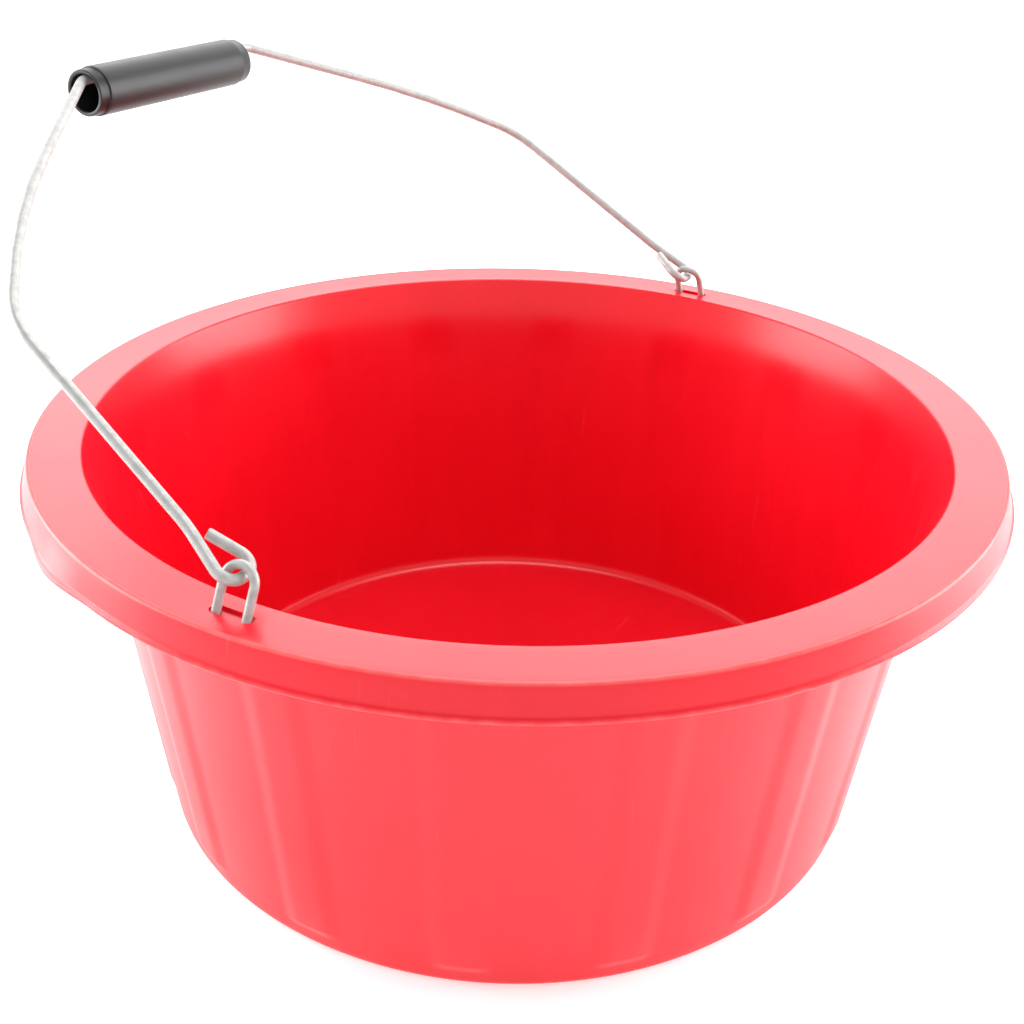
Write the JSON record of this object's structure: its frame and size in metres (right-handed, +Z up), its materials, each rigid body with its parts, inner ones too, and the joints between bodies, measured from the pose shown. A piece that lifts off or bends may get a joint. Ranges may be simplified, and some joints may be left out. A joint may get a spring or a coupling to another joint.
{
  "type": "wash bucket",
  "caption": "Shallow round red plastic wash bucket with a wide flat rim, ribbed sloping wall, wire bail hooked through rim staples and a loose black grip.",
  "frame": {"origin": "centre of the foot ring, on the ground", "axes": "+Z up; +X from one staple to the other, along the bail's pivot line; the stored bail leans towards +Y"},
  "size_m": [0.4, 0.3998, 0.2958],
  "materials": {
    "bucket_plastic": "semi-gloss moulded polypropylene, fine grain",
    "galvanised_wire": "dull zinc coat with drawing marks",
    "grip_plastic": "satin black moulded plastic"
  },
  "bodies": {
    "bucket": {"bucket_shell": "bucket_plastic", "staple_left": "galvanised_wire", "staple_right": "galvanised_wire"},
    "bail": {"bail_wire": "galvanised_wire"},
    "grip": {"grip_tube": "grip_plastic"}
  },
  "joints": [
    {"name": "bail_swing", "type": "hinge", "parent": "bucket", "child": "bail", "pos_m": [0, 0, 0.178], "axis": [-1, 0, 0], "range_deg": [-145.3, 30.7]},
    {"name": "grip_spin", "type": "hinge", "parent": "bail", "child": "grip", "pos_m": [-0.0037, 0.17604, 0.28582], "axis": [1, 0, 0], "continuous": true}
  ]
}
